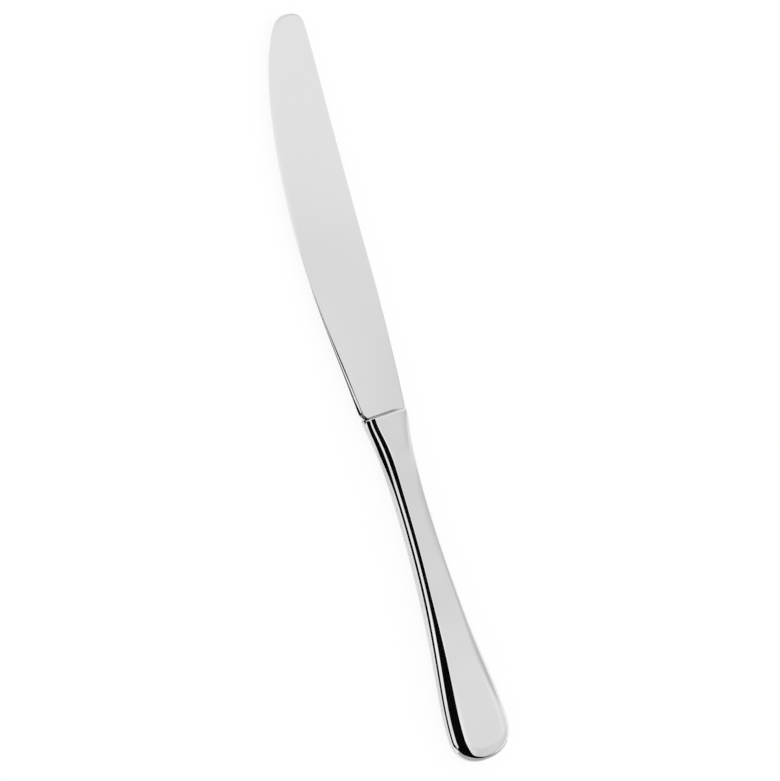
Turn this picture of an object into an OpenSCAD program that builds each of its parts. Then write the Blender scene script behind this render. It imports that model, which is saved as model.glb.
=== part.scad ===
// Table knife with a hollow handle, lying on its side.
// X runs from the cutting edge to the spine, Y from the butt to the tip, Z up through the thickness.
// The origin is under the middle of the knife, on the surface that it rests on.

/* [Blade] */
// Length of the blade, from the shoulder to the tip
blade_length = 124; // [116:0.1:134]
// Distance from the handle's axis to the spine, at the shoulder
shoulder_spine = 7.2; // [6.5:0.1:7.4]
// Distance from the handle's axis to the spine, where the spine straightens
middle_spine = 9.8; // [9:0.1:10.6]
// Distance from the handle's axis to the spine, at the tip
tip_spine = 12; // [11:0.1:13.4]
// Distance from the shoulder to where the spine straightens
spine_bend_place = 45; // [38:0.5:52]
// Depth of the edge below the handle's axis, at the heel
heel_depth = 7.6; // [7:0.1:8.4]
// Depth of the edge below the handle's axis, where it is greatest
belly_depth = 11.6; // [10.8:0.1:12.8]
// Distance from the shoulder to the deepest place of the edge
belly_place = 52.5; // [46:0.5:60]
// Radius of the rounded tip
tip_radius = 5.6; // [5:0.1:6.4]
// Squareness of the tip on the spine's side, where 2 is round
tip_squareness = 3; // [2:0.1:3.5]
// Length of the rounded heel corner, along the blade
heel_corner_length = 2.9; // [2:0.1:4]
// Depth of the rounded heel corner, across the blade
heel_corner_depth = 1.6; // [0.8:0.1:2]
// Thickness of the blade at the shoulder
blade_thickness = 3; // [2.8:0.1:3.4]
// Thickness of the spine at the tip
tip_thickness = 1.3; // [1:0.1:1.6]
// Thickness of the ground face beside the cutting edge
ground_thickness = 0.7; // [0.55:0.05:0.9]
// Thickness of the cutting edge itself
edge_thickness = 0.4; // [0.25:0.05:0.5]
// Width of the ground strip along the cutting edge
bevel_width = 1.2; // [0.7:0.1:1.6]
// Width of the chamfer along the spine and the heel
spine_chamfer = 0.45; // [0.2:0.05:0.5]

/* [Tang] */
// Length of the tang behind the shoulder
tang_length = 44; // [36:0.5:50]
// Width of the tang at the shoulder
tang_width = 7.4; // [6.4:0.1:8]
// Width of the tang at its end
tang_end_width = 5; // [4.4:0.1:5.6]
// Thickness of the tang
tang_thickness = 2.2; // [1.8:0.1:2.4]
// Radius of the notches that key the tang into its cement
notch_radius = 0.8; // [0.5:0.1:1]
// Notches on each side of the tang
notch_count = 3; // [2:1:4]

/* [Handle] */
// Length of the handle, from the shoulder to the butt
handle_length = 110.3; // [104:0.1:118]
// Width of the handle at the shoulder
front_width = 14.6; // [14:0.1:15.4]
// Thickness of the handle at the shoulder
front_thickness = 8.2; // [7.6:0.1:8.8]
// Length of the handle's front that keeps this thickness
front_depth = 7; // [5:0.1:9]
// Width of the handle's flank at the shoulder, from its side to its flat face
front_flank = 2.4; // [2:0.1:3]
// Width of the handle at the neck
neck_width = 9.9; // [9.4:0.1:10.6]
// Thickness of the handle at the neck
neck_thickness = 7.4; // [6.8:0.1:7.8]
// Width of the handle's flank at the neck
neck_flank = 2.2; // [1.8:0.1:2.8]
// Distance from the shoulder to the start of the neck
neck_place = 29.5; // [26:0.5:32]
// Length of the neck that keeps its thickness
neck_length = 22; // [16:0.5:28]
// Greatest width of the handle, near the butt
butt_width = 20.7; // [19:0.1:22.2]
// Thickness of the handle near the butt
butt_thickness = 8.2; // [7.6:0.1:8.8]
// Width of the handle's flank near the butt
butt_flank = 4.9; // [4.3:0.1:5.5]
// Length of the rounded end behind the widest place
butt_round = 9.6; // [8.8:0.1:10.6]
// Length of the flat underside in front of the widest place
pad_length = 10; // [7:0.5:13]
// Squareness of the rounded end, seen from above
butt_squareness = 2.25; // [2:0.05:2.5]
// Thickness of the pressed sheet
shell_wall = 0.9; // [0.7:0.05:1]
// Rounding of the front edge of the sheet
front_edge = 0.3; // [0.1:0.05:0.4]

/* [Joints and filling] */
// Height of the brazed seam between the two half shells
seam_gap = 0.1; // [0.06:0.02:0.2]
// Depth of the collar in the handle's mouth
collar_depth = 4; // [3:0.1:6]
// Cement behind the end of the tang
cement_cover = 3; // [2:0.1:5]
// Clearance between the pieces inside the handle
fit_gap = 0.05; // [0.03:0.01:0.08]

/* [Hidden] */

// Overrun of every cut and of every piece that runs into the one it is part of
overrun = 2;
// Steps along each curved stretch of an outline
curve_steps = 24;
// Spacing of the handle's sections
section_spacing = 2.4;
// Sections round the butt
butt_steps = 14;
// Facets across each rounded flank
flank_steps = 8;
// Sections along the blade, which crowd together towards the heel and the tip
blade_steps = 64;
// Length of the last flat at the very tip, as a share of the tip's radius
tip_flat_share = 0.002;
// Widest that a bevel or a chamfer may be, as a share of the blade's width there
slim_share = 0.25;
// Facets round each notch of the tang
notch_facets = 32;

// Where the straight part of the handle ends and its rounded end begins
widest_place = handle_length - butt_round;
// Middle of the knife's box, across and along
middle_x = (max(tip_spine, butt_width / 2) - max(belly_depth, butt_width / 2)) / 2;
middle_y = (blade_length - handle_length) / 2;
// Height of the handle's axis above the surface
axis_height = max(front_thickness, butt_thickness) / 2;

// How far each curve's handles reach, as shares of its length
front_lead_shares = [0.22, 0.78];
neck_lead_shares = [0.56, 0.22];
thickness_lead_shares = [0.35, 0.45];
aft_spine_lead_shares = [0.31, 0.34];
fore_spine_lead_shares = [0.58, 0.14];
// Rise of the spine's curve at its first handle, as a share of the rise up to its bend
aft_spine_rise_share = 0.5;
aft_edge_lead_shares = [0.27, 0.29];
// Rise of the edge's curve at its first handle, as a share of the belly's extra depth
aft_edge_rise_share = 0.42;
// Slope of the spine at its bend, as a share of its whole rise over the blade's length
bend_slope_share = 0.5;
// Angle at which the round tip runs into the cutting edge
tip_turn = 143;
// Reach of the edge's curve from the belly and from the tip, as shares of that stretch
fore_edge_lead_shares = [0.41, 0.2];

function mix(a, b, share) = a + (b - a) * share;
function bezier(p, t) =
    p[0] * pow(1 - t, 3) + 3 * p[1] * t * pow(1 - t, 2) + 3 * p[2] * t * t * (1 - t) + p[3] * pow(t, 3);
function curve(p, first = 0) = [for (i = [first:curve_steps]) bezier(p, i / curve_steps)];

// A curve that leaves [a0, v0] level and arrives level at [a1, v1]
function level_curve(a0, v0, a1, v1, leads, first = 0) =
    curve([[a0, v0], [mix(a0, a1, leads[0]), v0], [mix(a1, a0, leads[1]), v1], [a1, v1]], first);

// Handle: half width, half thickness and flank width against the distance behind the shoulder
half_widths = concat(
    level_curve(0, front_width / 2, neck_place, neck_width / 2, front_lead_shares),
    level_curve(neck_place, neck_width / 2, widest_place, butt_width / 2, neck_lead_shares, 1));
half_thicknesses = concat(
    level_curve(front_depth, front_thickness / 2, neck_place, neck_thickness / 2, thickness_lead_shares),
    level_curve(neck_place + neck_length, neck_thickness / 2,
        widest_place - pad_length, butt_thickness / 2, thickness_lead_shares));
flank_widths = concat(
    level_curve(front_depth, front_flank, neck_place, neck_flank, thickness_lead_shares),
    level_curve(neck_place + neck_length, neck_flank, widest_place, butt_flank, thickness_lead_shares));

// A section of the handle: [half width, distance behind the shoulder, outward normal x and y,
// half thickness, flank width]
function side_section(place) = [
    lookup(place, half_widths), place, 1, 0,
    lookup(place, half_thicknesses), lookup(place, flank_widths)];
// A cosine or a sine from 0 to 1, bent to a squareness
function squared(v, squareness) = pow(v, 2 / squareness);
function butt_section(turn) = let (
    x = squared(cos(turn), butt_squareness),
    y = squared(sin(turn), butt_squareness),
    nx = pow(x, butt_squareness - 1) / butt_width * 2,
    ny = pow(y, butt_squareness - 1) / butt_round)
    [x * butt_width / 2, widest_place + y * butt_round, nx / norm([nx, ny]), ny / norm([nx, ny]),
        butt_thickness / 2, butt_flank];

side_steps = ceil(widest_place / section_spacing);
side_places = concat([0, front_edge], [for (i = [1:side_steps]) widest_place * i / side_steps]);
handle_sections = concat(
    [for (place = side_places) side_section(place)],
    [for (i = [1:butt_steps]) butt_section(90 * i / butt_steps)]);

// One rib of a skin that lies inset below the handle's surface, from the turn given up to the flat
// face. base is the height that it leaves from, and side is 1 towards the spine or -1 towards the edge.
function rib(section, inset, side, first_turn, base) = [
    for (i = [0:flank_steps * (first_turn < 0 ? 2 : 1)])
        let (
            turn = first_turn + 90 * i / flank_steps,
            inwards = inset + (section[5] - inset) * (1 - cos(turn)))
        [side * (section[0] - section[2] * inwards),
            -section[1] + section[3] * inwards,
            base + (section[4] - inset - base) * sin(turn)]];

// Ribs along the spine side, round the butt and back along the edge side
function ribs(sections, inset, first_turn, base, closed_end) = concat(
    [for (section = sections) rib(section, inset, 1, first_turn, base)],
    [for (i = [len(sections) - (closed_end ? 2 : 1):-1:0])
        rib(sections[i], inset, -1, first_turn, base)]);

// Faces run clockwise, seen from outside. Each four-sided face is two triangles, and one that has
// shrunk to a point is left out.
function quad(a, b, c, d) = [
    for (face = [[a, b, c], [a, c, d]])
        if (face[0] != face[1] && face[1] != face[2] && face[2] != face[0]) face];
function flipped(faces) = [for (face = faces) [face[2], face[1], face[0]]];

// The flanks of a skin of rib_count ribs, and the flat strip that joins the ribs' ends
function flank_faces(rib_count, rib_points, start) = [
    for (i = [0:rib_count - 2], j = [0:rib_points - 2])
        let (a = start + i * rib_points + j, b = a + rib_points)
        each quad(a, b, b + 1, a + 1)];
function flat_faces(rib_count, rib_points, start, end_point) = [
    for (i = [0:floor((rib_count - 3) / 2)])
        let (
            a = start + i * rib_points + end_point,
            d = start + (rib_count - 1 - i) * rib_points + end_point)
        each quad(a, a + rib_points, d - rib_points, d)];

// A pressed half shell: an outer and an inner skin, closed along the seam and at the mouth
module half_shell() {
    rib_points = flank_steps + 1;
    base = seam_gap / 2;
    mouth = handle_sections[0];
    mouth_shrunk = [mouth[0] - front_edge, mouth[1], mouth[2], mouth[3],
        mouth[4] - front_edge, mouth[5]];
    outer_sections = [for (i = [0:len(handle_sections) - 1]) i == 0 ? mouth_shrunk : handle_sections[i]];
    outer = ribs(outer_sections, 0, 0, base, true);
    inner = ribs(handle_sections, shell_wall, 0, base, true);
    count = len(outer);
    in = count * rib_points;
    last = (count - 1) * rib_points;
    polyhedron(
        points = [for (r = concat(outer, inner), point = r) point],
        faces = concat(
            flank_faces(count, rib_points, 0),
            flat_faces(count, rib_points, 0, flank_steps),
            flipped(flank_faces(count, rib_points, in)),
            flipped(flat_faces(count, rib_points, in, flank_steps)),
            [for (i = [0:count - 2])
                let (a = i * rib_points, b = a + rib_points) each quad(a, in + a, in + b, b)],
            [for (j = [0:flank_steps - 1]) each quad(j, j + 1, in + j + 1, in + j)],
            [for (j = [0:flank_steps - 1])
                each quad(in + last + j, in + last + j + 1, last + j + 1, last + j)],
            quad(flank_steps, last + flank_steps, in + last + flank_steps, in + flank_steps)));
}

// A solid that fills the shells from one place to another, or to the butt where it has no end
module core(from_place, to_place = undef) {
    rib_points = 2 * flank_steps + 1;
    to_butt = is_undef(to_place);
    end_place = to_butt ? handle_length : to_place;
    sections = concat(
        [side_section(from_place)],
        [for (section = handle_sections)
            if (section[1] > from_place && (to_butt || section[1] < end_place)) section],
        to_butt ? [] : [side_section(end_place)]);
    skin = ribs(sections, shell_wall + fit_gap, -90, 0, to_butt);
    count = len(skin);
    last = (count - 1) * rib_points;
    polyhedron(
        points = [for (r = skin, point = r) point],
        faces = concat(
            flank_faces(count, rib_points, 0),
            flat_faces(count, rib_points, 0, rib_points - 1),
            flipped(flat_faces(count, rib_points, 0, 0)),
            [for (j = [0:rib_points - 2]) each quad(j, j + 1, last + j + 1, last + j)]));
}

// Blade: the spine's and the edge's distance from the axis against the distance from the shoulder
spine_rise = tip_spine - shoulder_spine;
bend_slope = bend_slope_share * spine_rise / blade_length;
tip_centre = [blade_length - tip_radius, tip_spine - tip_radius];
tip_end = tip_centre + tip_radius * [sin(tip_turn), cos(tip_turn)];
fore_spine_length = tip_centre[0] - spine_bend_place;
fore_edge_length = tip_end[0] - belly_place;
fore_spine_lead = fore_spine_lead_shares[0] * fore_spine_length;
aft_spine_lead = aft_spine_lead_shares[1] * spine_bend_place;
spine_line = concat(
    curve([
        [0, shoulder_spine],
        [aft_spine_lead_shares[0] * spine_bend_place, mix(shoulder_spine, middle_spine, aft_spine_rise_share)],
        [spine_bend_place - aft_spine_lead, middle_spine - aft_spine_lead * bend_slope],
        [spine_bend_place, middle_spine]]),
    curve([
        [spine_bend_place, middle_spine],
        [spine_bend_place + fore_spine_lead, middle_spine + fore_spine_lead * bend_slope],
        [tip_centre[0] - fore_spine_lead_shares[1] * fore_spine_length, tip_spine],
        [tip_centre[0], tip_spine]], 1),
    [for (i = [1:curve_steps])
        tip_centre + tip_radius * [
            squared(sin(90 * i / curve_steps), tip_squareness),
            squared(cos(90 * i / curve_steps), tip_squareness)]]);
edge_line = concat(
    curve([
        [0, -heel_depth],
        [aft_edge_lead_shares[0] * belly_place, -mix(heel_depth, belly_depth, aft_edge_rise_share)],
        [belly_place * (1 - aft_edge_lead_shares[1]), -belly_depth],
        [belly_place, -belly_depth]]),
    curve([
        [belly_place, -belly_depth],
        [belly_place + fore_edge_lead_shares[0] * fore_edge_length, -belly_depth],
        tip_end + fore_edge_lead_shares[1] * fore_edge_length * [cos(tip_turn), -sin(tip_turn)],
        tip_end], 1),
    [for (i = [1:curve_steps])
        let (turn = mix(tip_turn, 90, i / curve_steps))
        tip_centre + tip_radius * [sin(turn), cos(turn)]]);

// The heel corner rounds the edge off over its last stretch before the shoulder
function heel_corner(place) = place >= heel_corner_length ? 0
    : heel_corner_depth * (1 - sqrt(1 - pow(1 - place / heel_corner_length, 2)));

// Thickness of the blade's faces at the spine and beside the edge, and of the edge's own narrow face
function spine_thickness(place) = mix(blade_thickness, tip_thickness, place / blade_length);
function ground_share(place) = min(place / belly_place, 1);
function land_thickness(place) = mix(blade_thickness, ground_thickness, sin(90 * ground_share(place)));
function strip_thickness(place) = mix(blade_thickness - 2 * spine_chamfer, edge_thickness, ground_share(place));
function strip_bevel(place) = mix(spine_chamfer, bevel_width, ground_share(place));

// One section across the blade, clockwise from the bottom of the edge, seen from the shoulder
function blade_section(place) = let (
    edge = lookup(place, edge_line) + heel_corner(place),
    spine = lookup(place, spine_line),
    width = spine - edge,
    bevel = min(strip_bevel(place), width * slim_share),
    chamfer = min(spine_chamfer, width * slim_share),
    face_spine = spine_thickness(place) / 2,
    face_edge = min(land_thickness(place) / 2, face_spine),
    strip = min(strip_thickness(place) / 2, face_edge))
    [[edge, place, -strip], [edge, place, strip],
        [edge + bevel, place, face_edge], [spine - chamfer, place, face_spine],
        [spine, place, face_spine - chamfer], [spine, place, chamfer - face_spine],
        [spine - chamfer, place, -face_spine], [edge + bevel, place, -face_edge]];

// The forged blade, from the shoulder to the tip
module blade_body() {
    tip_place = blade_length - tip_flat_share * tip_radius;
    sections = [for (i = [0:blade_steps])
        blade_section(tip_place * (1 - cos(180 * i / blade_steps)) / 2)];
    points_round = len(sections[0]);
    last = blade_steps * points_round;
    polyhedron(
        points = [for (section = sections, point = section) point],
        faces = concat(
            [[for (k = [0:points_round - 1]) k]],
            [for (i = [0:blade_steps - 1], k = [0:points_round - 1])
                let (
                    a = i * points_round + k,
                    b = i * points_round + (k + 1) % points_round)
                each quad(a, a + points_round, b + points_round, b)],
            [[for (k = [points_round - 1:-1:0]) last + k]]));
}

// The tang, or with a gap the space that it lies in
module tang(gap = 0) {
    half = tang_width / 2 + gap;
    half_end = tang_end_width / 2 + gap;
    pitch = tang_length / (notch_count + 1);
    translate([0, 0, -tang_thickness / 2 - gap])
        linear_extrude(tang_thickness + 2 * gap)
            difference() {
                polygon([[-half, overrun], [half, overrun], [half, 0],
                    [half_end, -tang_length - gap], [-half_end, -tang_length - gap], [-half, 0]]);
                for (i = [1:notch_count], side = [-1, 1])
                    translate([side * mix(half, half_end, i / (notch_count + 1)), -i * pitch])
                        circle(r = notch_radius - gap, $fn = notch_facets);
            }
}

module place_knife() {
    translate([-middle_x, -middle_y, axis_height]) children();
}

module blade() {
    color("gainsboro") place_knife() union() {
        blade_body();
        tang();
    }
}

module handle_shell_upper() {
    color("lightgray") place_knife() half_shell();
}

module handle_shell_lower() {
    color("silver") place_knife() mirror([0, 0, 1]) half_shell();
}

// The ribbon of braze that joins the rims of the two half shells
module seam_braze() {
    outer = [for (r = ribs(handle_sections, 0, 0, 0, true)) [r[0][0], r[0][1]]];
    inner = [for (r = ribs(handle_sections, shell_wall, 0, 0, true)) [r[0][0], r[0][1]]];
    color("darkgray") place_knife() translate([0, 0, -seam_gap / 2])
        linear_extrude(seam_gap)
            polygon(concat(outer, [for (i = [len(inner) - 1:-1:0]) inner[i]]));
}

// The slotted collar that closes the mouth round the tang
module mouth_collar() {
    color("darkgray") place_knife() difference() {
        core(0, collar_depth);
        tang(fit_gap);
    }
}

module tang_cement() {
    color("dimgray") place_knife() difference() {
        core(collar_depth + fit_gap, tang_length + cement_cover);
        tang(fit_gap);
    }
}

module handle_fill() {
    color("tan") place_knife() core(tang_length + cement_cover + fit_gap);
}

blade();
handle_shell_upper();
handle_shell_lower();
seam_braze();
mouth_collar();
tang_cement();
handle_fill();
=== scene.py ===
import math
import bmesh
import bpy
from mathutils import Matrix, Vector


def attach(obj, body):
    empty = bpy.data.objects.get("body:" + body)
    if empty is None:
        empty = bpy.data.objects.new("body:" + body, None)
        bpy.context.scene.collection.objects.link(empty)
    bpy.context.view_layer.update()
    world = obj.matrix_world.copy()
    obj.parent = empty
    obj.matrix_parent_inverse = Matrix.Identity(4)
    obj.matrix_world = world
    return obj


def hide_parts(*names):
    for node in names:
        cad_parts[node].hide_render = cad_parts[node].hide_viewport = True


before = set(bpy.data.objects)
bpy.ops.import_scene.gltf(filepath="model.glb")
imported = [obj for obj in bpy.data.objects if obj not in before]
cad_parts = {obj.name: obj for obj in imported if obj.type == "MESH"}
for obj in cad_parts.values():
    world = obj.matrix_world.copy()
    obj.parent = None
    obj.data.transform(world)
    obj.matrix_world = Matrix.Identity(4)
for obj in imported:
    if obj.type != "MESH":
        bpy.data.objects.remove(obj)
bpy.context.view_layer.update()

mm = 0.001

# Table knife with a hollow handle, lying on its side. The knife's own coordinates are millimetres:
# y = 0 at the shoulder, x = 0 on the handle's axis, z = 0 half way through the thickness.
knifePlace = {
    "middleX": 0.2,
    "middleY": 6.85,
    "axisHeight": 4.1,
}


def toFrame(x, y, z):
    return Vector((
        (x - knifePlace["middleX"]) * mm,
        (y - knifePlace["middleY"]) * mm,
        (z + knifePlace["axisHeight"]) * mm))


def mix(a, b, share):
    return a + (b - a) * share


def squared(value, squareness):
    return max(value, 0) ** (2 / squareness)


def bezierPoint(points, t):
    s = 1 - t
    weights = (s ** 3, 3 * t * s * s, 3 * t * t * s, t ** 3)
    return [sum(w * p[k] for w, p in zip(weights, points)) for k in (0, 1)]


def bezierLine(points, steps=240, first=0):
    return [bezierPoint(points, i / steps) for i in range(first, steps + 1)]


def levelCurve(startPlace, startValue, endPlace, endValue, leads, first=0):
    return bezierLine([
        (startPlace, startValue),
        (mix(startPlace, endPlace, leads[0]), startValue),
        (mix(endPlace, startPlace, leads[1]), endValue),
        (endPlace, endValue)], first=first)


def lookup(line, place):
    if place <= line[0][0]:
        return line[0][1]
    low, high = 0, len(line) - 1
    if place >= line[high][0]:
        return line[high][1]
    while high - low > 1:
        middle = (low + high) // 2
        if line[middle][0] <= place:
            low = middle
        else:
            high = middle
    a, b = line[low], line[high]
    return mix(a[1], b[1], (place - a[0]) / (b[0] - a[0]))


meshTidy = {
    "merge": 0.0005,          # points nearer than this are merged, in millimetres
    "shrunk": 0.0002,         # and edges shorter than this are dropped
    "sharpAngle": 35,         # degrees between two faces, past which the edge between them is sharp
}


def makePiece(name, points, faces, material):
    mesh = bpy.data.meshes.new(name)
    mesh.from_pydata([tuple(toFrame(*p)) for p in points], [], faces)
    tidyMesh(mesh, meshTidy["sharpAngle"])
    mesh.materials.append(material)
    piece = bpy.data.objects.new(name, mesh)
    bpy.context.scene.collection.objects.link(piece)
    return piece


# Merges what meets, drops what has shrunk to nothing, and turns the faces outwards
def tidyMesh(mesh, sharpAngle):
    work = bmesh.new()
    work.from_mesh(mesh)
    bmesh.ops.remove_doubles(work, verts=work.verts, dist=meshTidy["merge"] * mm)
    bmesh.ops.dissolve_degenerate(work, edges=work.edges, dist=meshTidy["shrunk"] * mm)
    bmesh.ops.recalc_face_normals(work, faces=work.faces)
    for face in work.faces:
        face.smooth = True
    work.to_mesh(mesh)
    work.free()
    mesh.set_sharp_from_angle(angle=math.radians(sharpAngle))
    mesh.update()


def gridFaces(rows, columns, start=0, flip=False):
    faces = []
    for i in range(rows - 1):
        for j in range(columns - 1):
            a = start + i * columns + j
            b = a + columns
            face = (a, a + 1, b + 1, b)
            faces.append(face[::-1] if flip else face)
    return faces


def blankMaterial(name):
    material = bpy.data.materials.new(name)
    material.use_nodes = True
    tree = material.node_tree
    tree.nodes.clear()
    return material, tree, tree.nodes.new("ShaderNodeOutputMaterial")


def newMaterial(name):
    material, tree, output = blankMaterial(name)
    shader = tree.nodes.new("ShaderNodeBsdfPrincipled")
    tree.links.new(shader.outputs[0], output.inputs[0])
    return material, tree, shader


def noiseOn(tree, source, scale, detail, stretch=(1, 1, 1)):
    mapping = tree.nodes.new("ShaderNodeMapping")
    mapping.inputs["Scale"].default_value = stretch
    noise = tree.nodes.new("ShaderNodeTexNoise")
    noise.inputs["Scale"].default_value = scale
    noise.inputs["Detail"].default_value = detail
    tree.links.new(source, mapping.inputs[0])
    tree.links.new(mapping.outputs[0], noise.inputs["Vector"])
    return noise.outputs["Fac"]


def mapRange(tree, source, low, high, toLow, toHigh):
    node = tree.nodes.new("ShaderNodeMapRange")
    tree.links.new(source, node.inputs[0])
    for socket, value in zip(node.inputs[1:5], (low, high, toLow, toHigh)):
        socket.default_value = value
    return node.outputs[0]


def mathNode(tree, operation, first, second=None):
    node = tree.nodes.new("ShaderNodeMath")
    node.operation = operation
    for socket, value in zip(node.inputs, (first, second)):
        if isinstance(value, (int, float)):
            socket.default_value = value
        elif value is not None:
            tree.links.new(value, socket)
    return node.outputs[0]


# A level that follows straight lines between spots, each a value and the level there
def levelLine(tree, source, spots):
    low, high = spots[0][0], spots[-1][0]
    top = max(level for _, level in spots)
    curve = tree.nodes.new("ShaderNodeFloatCurve")
    line = curve.mapping.curves[0]
    places = [((value - low) / (high - low), level / top) for value, level in spots]
    line.points[0].location = places[0]
    line.points[1].location = places[-1]
    for spot in places[1:-1]:
        line.points.new(*spot)
    for point in line.points:
        point.handle_type = "VECTOR"
    curve.mapping.update()
    tree.links.new(mapRange(tree, source, low, high, 0, 1), curve.inputs["Value"])
    return mapRange(tree, curve.outputs[0], 0, 1, 0, top)


# Each colour is a socket or three numbers
def mixColors(tree, share, first, second):
    node = tree.nodes.new("ShaderNodeMix")
    node.data_type = "RGBA"
    tree.links.new(share, node.inputs[0])
    for socket, color in zip(node.inputs[6:8], (first, second)):     # the two colour sockets
        if isinstance(color, tuple):
            socket.default_value = (*color, 1)
        else:
            tree.links.new(color, socket)
    return node.outputs[2]


def addBump(tree, shader, height, strength, depth):
    bump = tree.nodes.new("ShaderNodeBump")
    bump.inputs["Strength"].default_value = strength
    bump.inputs["Distance"].default_value = depth
    tree.links.new(height, bump.inputs["Height"])
    tree.links.new(bump.outputs[0], shader.inputs["Normal"])


# Painted shade in the corner between the blade and the handle, which fades towards its ends.
# Places on the steel are in millimetres, in the knife's own coordinates.
jointPaintedShade = {
    "depth": 0.77,
    "place": 0.3, "core": 0.06, "reach": 0.32,            # along the knife
    "shift": -1.9, "middle": 4.4, "side": 6.6,            # across it
}
# More painted shade lies under the heel's rounded corner, measured across the slant of that corner
heelPaintedShade = {
    "depth": 0.96,
    "slant": (0.8, 0.6), "dark": -5.05, "clean": -4.75,
    "place": 0.8, "core": 0.6, "reach": 0.75,
}


# A shaded point's place across and along the knife
def knifePoint(tree, position):
    split = tree.nodes.new("ShaderNodeSeparateXYZ")
    tree.links.new(position, split.inputs[0])
    places = [mathNode(tree, "DIVIDE", split.outputs[axis], mm) for axis in "XY"]
    return [mathNode(tree, "ADD", place, knifePlace["middle" + axis]) for place, axis in zip(places, "XY")]


# Full within the near distance from a line, and nothing past the far one
def stripe(tree, value, line, near, far):
    away = mathNode(tree, "ABSOLUTE", mathNode(tree, "SUBTRACT", value, line))
    return mapRange(tree, away, near, far, 1, 0)


# Painted shade: how dark the steel is painted in the corner between blade and handle and under the heel
def paintedShadeMask(tree, x, y):
    j, h = jointPaintedShade, heelPaintedShade
    joint = mathNode(tree, "MULTIPLY", stripe(tree, y, j["place"], j["core"], j["reach"]),
                     stripe(tree, x, j["shift"], j["middle"], j["side"]))
    across = mathNode(tree, "ADD", mathNode(tree, "MULTIPLY", x, h["slant"][0]),
                      mathNode(tree, "MULTIPLY", y, h["slant"][1]))
    heel = mathNode(tree, "MULTIPLY", mapRange(tree, across, h["dark"], h["clean"], 1, 0),
                    stripe(tree, y, h["place"], h["core"], h["reach"]))
    return mathNode(tree, "MAXIMUM", mathNode(tree, "MULTIPLY", joint, j["depth"]),
                    mathNode(tree, "MULTIPLY", heel, h["depth"]))


steelFinish = {
    "stainScale": 45.0, "stainDetail": 2.0,
    "stainDepth": 0.012,          # how far a metal's brightness wanders
    "smearScale": 320.0, "smearDetail": 4.0,
    "smearSpan": (0.3, 0.7),      # the noise in a metal's smoothest and in its roughest patches
    "scratchScale": 2600.0, "scratchDetail": 2.0, "scratchStrength": 0.25,
    # the near-black of the painted shade in those corners
    "paintedShadeColor": (0.02, 0.02, 0.02),
}
# The scratches' depth is in metres, and the stretch draws smears and scratches out along the knife
metals = {
    "bladeSteel": {
        "color": (0.72, 0.72, 0.72), "roughness": (0.05, 0.1),
        "scratchDepth": 0.000003, "stretch": (1, 0.04, 1)},
    "handleSteel": {
        "color": (0.72, 0.72, 0.72), "roughness": (0.03, 0.06),
        "scratchDepth": 0.0000015, "stretch": (1, 0.06, 1)},
    "seamMetal": {
        "color": (0.6, 0.59, 0.57), "roughness": (0.22, 0.34),
        "scratchDepth": 0.000004, "stretch": (1, 1, 1)},
    "collarSteel": {
        "color": (0.5, 0.5, 0.5), "roughness": (0.25, 0.4),
        "scratchDepth": 0.000006, "stretch": (1, 1, 1)},
}
# Painted highlight and shade: how bright the handle's steel is painted at places along it
handlePaintedLight = (
    (-112, 0.985), (-84, 0.985), (-78, 1.01), (-71, 1.065), (-65, 1.04), (-59, 1.01), (-52, 1),
    (-28, 1), (-24, 0.96), (-21, 0.9), (-17.6, 0.9), (-13.3, 0.93), (-10, 1), (3, 1))


def polishedSteel(name, withPaintedShade=False, paintedLight=None):
    metal, finish = metals[name], steelFinish
    material, tree, shader = newMaterial(name)
    shader.inputs["Metallic"].default_value = 1.0
    position = tree.nodes.new("ShaderNodeTexCoord").outputs["Object"]
    stain = noiseOn(tree, position, finish["stainScale"], finish["stainDetail"])
    darker = tuple(c - finish["stainDepth"] for c in metal["color"])
    lighter = tuple(c + finish["stainDepth"] for c in metal["color"])
    shade = mixColors(tree, stain, darker, lighter)
    if withPaintedShade or paintedLight:
        x, y = knifePoint(tree, position)
    # painted shade darkens the steel's colour in the corners
    if withPaintedShade:
        shade = mixColors(tree, paintedShadeMask(tree, x, y), shade, finish["paintedShadeColor"])
    # painted highlight and shade scale the steel's colour along the handle
    if paintedLight:
        gain = tree.nodes.new("ShaderNodeVectorMath")
        gain.operation = "SCALE"
        tree.links.new(shade, gain.inputs[0])
        tree.links.new(levelLine(tree, y, paintedLight), gain.inputs["Scale"])
        shade = gain.outputs[0]
    tree.links.new(shade, shader.inputs["Base Color"])
    smear = noiseOn(tree, position, finish["smearScale"], finish["smearDetail"], metal["stretch"])
    roughness = mapRange(tree, smear, *finish["smearSpan"], *metal["roughness"])
    tree.links.new(roughness, shader.inputs["Roughness"])
    scratches = noiseOn(tree, position, finish["scratchScale"], finish["scratchDetail"], metal["stretch"])
    addBump(tree, shader, scratches, finish["scratchStrength"], metal["scratchDepth"])
    return material


fillFinish = {
    "roughness": 0.9,
    "grainDetail": 6.0,
    "grainSpan": (0.35, 0.65),    # the noise in the dark and in the light grains
    "bumpStrength": 0.6, "bumpDepth": 0.0001,
}
fills = {
    "cementFill": {"dark": (0.3, 0.29, 0.28), "light": (0.42, 0.41, 0.38), "grainScale": 1500.0},
    "handleFill": {"dark": (0.46, 0.42, 0.35), "light": (0.62, 0.56, 0.47), "grainScale": 1100.0},
}


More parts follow.
